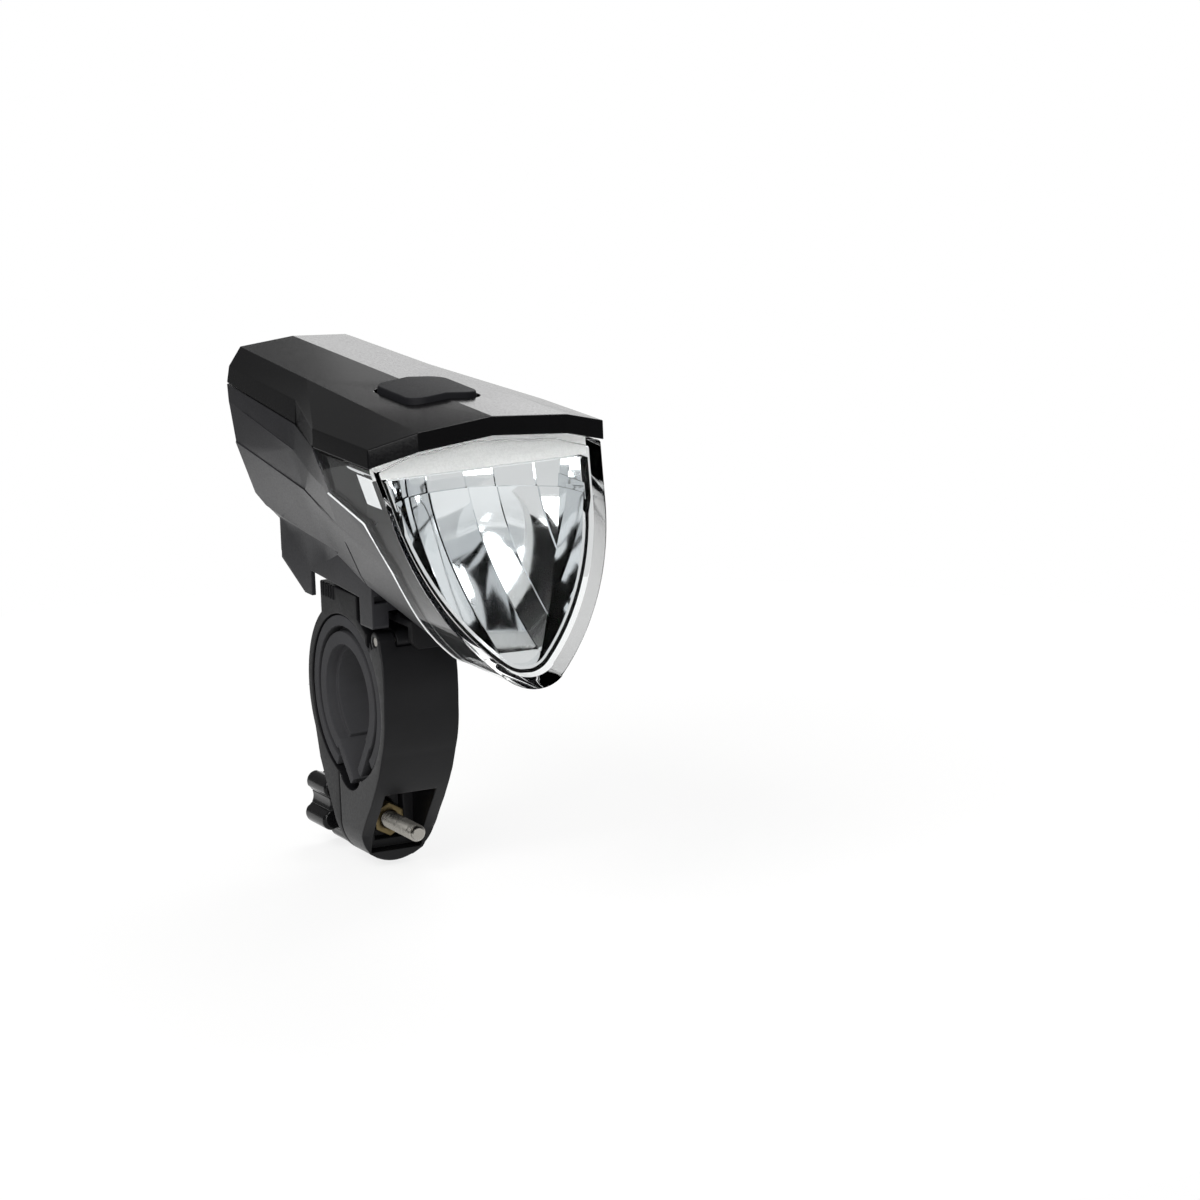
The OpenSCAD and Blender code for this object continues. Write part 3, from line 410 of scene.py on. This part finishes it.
# Light deck over the bowl: it carries the emitter's board and closes the bowl's top.
# The same metallised ABS, with its edges eased so that the mirror film holds.
deck_size, deck_middle, deck_edge = (45, 19.8, .7), (0, -49.6, 61.6), .2
deck = bmesh.new()
bmesh.ops.create_cube(deck, size=1)
bmesh.ops.scale(deck, verts=deck.verts, vec=Vector(deck_size) * MM)
bmesh.ops.translate(deck, verts=deck.verts, vec=Vector(deck_middle) * MM)
bmesh.ops.bevel(deck, geom=deck.edges[:], offset=deck_edge * MM, segments=2, profile=.5,
                affect="EDGES", material=-1)
fitted(deck, "light_deck", "lamp", "reflector_chrome", chrome)

# Two walls round the bowl, from the flange plane back into the shell.
# The outer is matt black ABS and makes the dark band behind the clear edge; the inner one is
# metallised like the bowl and closes it at its sides.
skirt_black = moulded("black_abs_matt", "#050506", "#09090a", rough=.6, grain_mm=.5,
                      relief_mm=.002, specular=.1)
ear_line = ((26.85, 61.5), (26.05, 56.5), (25.45, 53.2), (25.35, 52.4))
rear_line = ((0, -51), (20, -54.5), (34, -58.5), (41, -58.5), (52.5, -50.4))
front_y, wall_front, wall_t, ear_z = -63.3, 4.2, .7, 52.5
for name, inset, ear_front, ear_rear, slot, stuff in (
        ("lens_skirt", 2.45, 3, 7, "chip_black", skirt_black),
        ("bowl_wall", 3.2, wall_front, 17, "reflector_chrome", chrome)):
    arc = [(radians(t), flank_x, flank_z, flank_r - inset) for t in range(10, 50, 3)]
    arc += [(radians(t), 0, chin_z, chin_r - inset) for t in range(56, 91, 7)]
    half = [(x - inset, z) for x, z in ear_line]
    half += [(x + r * cos(t), z - r * sin(t)) for t, x, z, r in arc]
    wall = bmesh.new()
    loop = [wall.verts.new((x * MM, 0, z * MM)) for x, z in half]
    loop += [wall.verts.new((-x * MM, 0, z * MM)) for x, z in half[-2::-1]]
    bend = [wall.edges.new(pair) for pair in zip(loop, loop[1:])]
    made = bmesh.ops.extrude_edge_only(wall, edges=bend)["geom"]
    for vert in loop:
        z = vert.co.z / MM
        step = ear_front if z > ear_z else wall_front
        vert.co.y = (front_y - (face_z - z) * rake + step) * MM
    for vert in [v for v in made if isinstance(v, bmesh.types.BMVert)]:
        z = vert.co.z / MM
        if z > ear_z:
            vert.co.y = (front_y - (face_z - z) * rake + ear_rear) * MM
        else:
            (z0, y0), (z1, y1) = next(pair for pair in zip(rear_line, rear_line[1:])
                                      if z <= pair[1][0])
            vert.co.y = (y0 + (y1 - y0) * (z - z0) / (z1 - z0)) * MM
    bmesh.ops.recalc_face_normals(wall, faces=wall.faces)
    bmesh.ops.solidify(wall, geom=wall.faces[:], thickness=wall_t * MM)
    bmesh.ops.recalc_face_normals(wall, faces=wall.faces)
    fitted(wall, name, "lamp", slot, stuff)

# White brow behind the top of the lens.
# Gloss white ABS; its top edge is bonded into the lens's roof, so no gap shows under the hood.
brow_white = moulded("white_abs_gloss", "#f4f4f2", "#fafaf9", rough=.28, grain_mm=.6,
                     relief_mm=.01)
brow = eased("brow_panel", .2)
top_rise, top_face = 1.7 * MM, .4
for vert in [v for v in brow.verts if v.normal.z > top_face]:
    vert.co.z += top_rise
fitted(brow, "brow_strip", "lamp", "brow_white", brow_white, "brow_panel")

# Front lens with its side windows.
# Clear polycarbonate, polished tool, with rounded edges that catch the light. Its index is set
# low, because at polycarbonate's own the double gloss of the solid 2 mm wall veils the inside.
clear, tree, at = blank("clear_polycarbonate")
ripple_mm, ripple_depth_mm = 9, .1
ripple = put(tree, "ShaderNodeTexNoise", Vector=at, Scale=1000 / ripple_mm, Detail=1.0)
relief = put(tree, "ShaderNodeBump", Height=ripple.outputs["Fac"], Strength=.12,
             Distance=ripple_depth_mm * MM)
skin = put(tree, "ShaderNodeBsdfPrincipled", Base_Color=tint("#fbfcfc"), Roughness=.012, IOR=1.1,
           Transmission_Weight=1.0, Normal=relief.outputs[0])
put(tree, "ShaderNodeOutputMaterial", Surface=skin.outputs[0])
fitted(eased("lens", .45), "front_lens", "lamp", "lens_clear", clear, "lens")

# Pale bead where the lens meets the shell, rough like frosted polycarbonate.
# Its pale colour is a painted highlight: it stands in for the bright line of light that runs
# along the lens's edge at the seam.
seam_highlight_paint = moulded("pale_seam_painted_highlight", "#dfe1e2", "#eef0f0", rough=.35, grain_mm=.5,
                  relief_mm=.01)
bead_r, seam_y, slant_z, slant = .22 * MM, -59.6, 34, 3.4
seam = [(-34.6, 55.1), (-43, 53.2), (-51.6, 51.2), (-52.3, 50.8), (-59.4, 41.3),
        (seam_y, 40.4), (seam_y, 34.4)]
seam += [(seam_y + (slant_z - z) / slant, z)
         for z in (33, 30, 27, 24, 22, 20, 18.8, 18, 17.6)]
window_x, window_lean, window_z, chin_top_z = 27.3, tan(radians(9.4)), 52.9, 20
for hand, name in ((-1, "left"), (1, "right")):
    bead = bpy.data.curves.new("highlight_bead_" + name, "CURVE")
    bead.dimensions = "3D"
    bead.bevel_depth = bead_r
    bead.bevel_resolution = 2
    bead.use_fill_caps = True
    line = bead.splines.new("POLY")
    line.points.add(len(seam) - 1)
    for point, (y, z) in zip(line.points, seam):
        if z > window_z:
            x = window_x - (face_z - z) * window_lean
        elif z > chin_top_z:
            x = (flank_r ** 2 - (z - flank_z) ** 2) ** .5 + flank_x
        else:
            x = (chin_r ** 2 - (z - chin_z) ** 2) ** .5
        point.co = (hand * x * MM, y * MM, z * MM, 1)
    # The pale colour paints the bright highlight line along the lens's seam.
    bead.materials.append(seam_highlight_paint)
    piece = bpy.data.objects.new("highlight_bead_" + name, bead)
    bpy.context.scene.collection.objects.link(piece)
    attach(piece, "lamp")

# Roof cover with the hood over the lens.
# Black ABS, satin, with a ridge along its middle and a crisp lip at the front; the lengthwise
# edges between its facets stay crisp.
roof_black = moulded("black_abs_satin", "#070708", "#0b0b0c", rough=.16, grain_mm=.5,
                     relief_mm=.002, specular=.13)
roof = eased("top_cover", .25, turn=15)
facets_z, lengthwise, facet_turn = 72 * MM, .9, radians(8)
for edge in roof.edges:
    way = edge.verts[1].co - edge.verts[0].co
    if (min(v.co.z for v in edge.verts) > facets_z and abs(way.y) > lengthwise * way.length
            and edge.is_manifold):
        edge.smooth = edge.calc_face_angle() < facet_turn
fitted(roof, "roof_cover", "cover", "cover_plastic", roof_black, "top_cover")

# Push button folded over the ridge.
# Soft silicone rubber, dull, with drafted sides and a round shoulder.
button_rubber = moulded("grey_silicone_matt", "#131316", "#1a1a1d", rough=.6, grain_mm=.35,
                        relief_mm=.03, specular=.14)
pad = eased("power_button", 0, turn=180)
_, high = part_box("power_button")
top_h, top_face, middle_y = 2.2 * MM, .2, -32.2 * MM
narrower, shorter, shoulder_r = .96, .05, .4 * MM
for vert in pad.verts:
    if vert.co.z > high.z - top_h and abs(vert.normal.z) > top_face:
        vert.co.x *= narrower
        vert.co.y += (middle_y - vert.co.y) * shorter
rims = [e for e in pad.edges if e.is_manifold and e.calc_face_angle() > radians(28)]
bmesh.ops.bevel(pad, geom=rims, offset=shoulder_r, segments=3, profile=.5, affect="EDGES",
                material=-1)
fitted(pad, "button_pad", "power_button", "button_rubber", button_rubber, "power_button")


# Studio: a pale floor, a white surround and four soft lamps.
# The floor is mostly its own white for the eye, and keeps a soft shadow. Mirrored rays see a
# darker surround, with a white patch towards the back.
def sight(tree):
    """The light path's outputs, and 1 for rays of the eye, off gloss or through glass, else 0."""
    path = put(tree, "ShaderNodeLightPath").outputs
    seen = put(tree, "ShaderNodeMath", {"operation": "ADD"}, i0=path["Is Camera Ray"],
               i1=path["Is Glossy Ray"])
    seen = put(tree, "ShaderNodeMath", {"operation": "ADD", "use_clamp": True},
               i0=seen.outputs[0], i1=path["Is Transmission Ray"])
    return path, seen.outputs[0]


floor_r, floor_gap, own_white = .3, .0005, .8
ground = bmesh.new()
bmesh.ops.create_circle(ground, cap_ends=True, segments=96, radius=floor_r)
bmesh.ops.translate(ground, verts=ground.verts, vec=(0, 0, cad_box[0][2] - floor_gap))
mesh = bpy.data.meshes.new("floor")
ground.to_mesh(mesh)
ground.free()
floor = bpy.data.objects.new("floor", mesh)
bpy.context.scene.collection.objects.link(floor)
paper, tree, _ = blank("white_paper")
_, seen = sight(tree)
share = put(tree, "ShaderNodeMath", {"operation": "MULTIPLY"}, i0=seen, i1=own_white)
matt = put(tree, "ShaderNodeBsdfDiffuse", Color=tint("#f2f2f1"))
glow = put(tree, "ShaderNodeEmission", Color=tint("#ffffff"), Strength=1.0)
both = put(tree, "ShaderNodeMixShader", i0=share.outputs[0], i1=matt.outputs[0],
           i2=glow.outputs[0])
put(tree, "ShaderNodeOutputMaterial", Surface=both.outputs[0])
mesh.materials.append(paper)

world = bpy.data.worlds.new("white_surround")
bpy.context.scene.world = world
world.use_nodes = True
tree = world.node_tree
tree.nodes.clear()
fill_level, gloss_level, glass_level = .55, .18, .75
patch_way, patch_edge, patch_core = (.552, .8324, .05), cos(radians(18)), cos(radians(9))
path, seen = sight(tree)
fill = put(tree, "ShaderNodeBackground", Color=tint("#ffffff"), Strength=fill_level)
toward = put(tree, "ShaderNodeVectorMath", {"operation": "DOT_PRODUCT"}, i1=patch_way,
             i0=put(tree, "ShaderNodeTexCoord").outputs["Generated"])
patch = put(tree, "ShaderNodeMapRange", {"interpolation_type": "SMOOTHSTEP"},
            i0=toward.outputs["Value"], i1=patch_edge, i2=patch_core, i3=gloss_level, i4=1.0)
glass = put(tree, "ShaderNodeMath", {"operation": "MULTIPLY"}, i0=path["Is Transmission Ray"],
            i1=glass_level)
direct = put(tree, "ShaderNodeMath", {"operation": "MAXIMUM"}, i0=path["Is Camera Ray"],
             i1=glass.outputs[0])
level = put(tree, "ShaderNodeMath", {"operation": "MAXIMUM"}, i0=direct.outputs[0],
            i1=patch.outputs[0])
white = put(tree, "ShaderNodeBackground", Color=tint("#ffffff"), Strength=level.outputs[0])
both = put(tree, "ShaderNodeMixShader", i0=seen, i1=fill.outputs[0], i2=white.outputs[0])
put(tree, "ShaderNodeOutputWorld", Surface=both.outputs[0])

middle = Vector((0, -.015, .03))
for name, place, size, power in (("key_lamp", (-.75, -.45, .8), .6, 9),
                                 ("front_lamp", (-.25, -1.1, .12), .4, 4),
                                 ("back_lamp", (.5, .5, .7), .5, 4),
                                 ("low_lamp", (.54, 1.05, .27), .26, .18)):
    lamp = bpy.data.lights.new(name, "AREA")
    lamp.size = size
    lamp.energy = power
    holder = bpy.data.objects.new(name, lamp)
    holder.visible_camera = False
    bpy.context.scene.collection.objects.link(holder)
    aim = (middle - Vector(place)).to_track_quat("-Z", "Y").to_matrix().to_4x4()
    holder.matrix_world = Matrix.Translation(place) @ aim

# Camera at the viewing angle of the photograph, turned a little about its own axis.
# A long lens, so that the near and far ends keep their sizes.
across, upward = Vector((.90021, -.43395, -.03783)), Vector((.12682, .178, .97586))
inward, stand = across.cross(upward), (-.55736, -1.29863, .33081)
eye = bpy.data.cameras.new("camera")
eye.lens = 191.55
eye.sensor_width = 36
eye.clip_end = 50
camera = bpy.data.objects.new("camera", eye)
bpy.context.scene.collection.objects.link(camera)
turned = Matrix((across, upward, inward)).transposed().to_4x4()
camera.matrix_world = Matrix.Translation(stand) @ turned
bpy.context.scene.camera = camera
bpy.context.scene.view_settings.view_transform = "Standard"
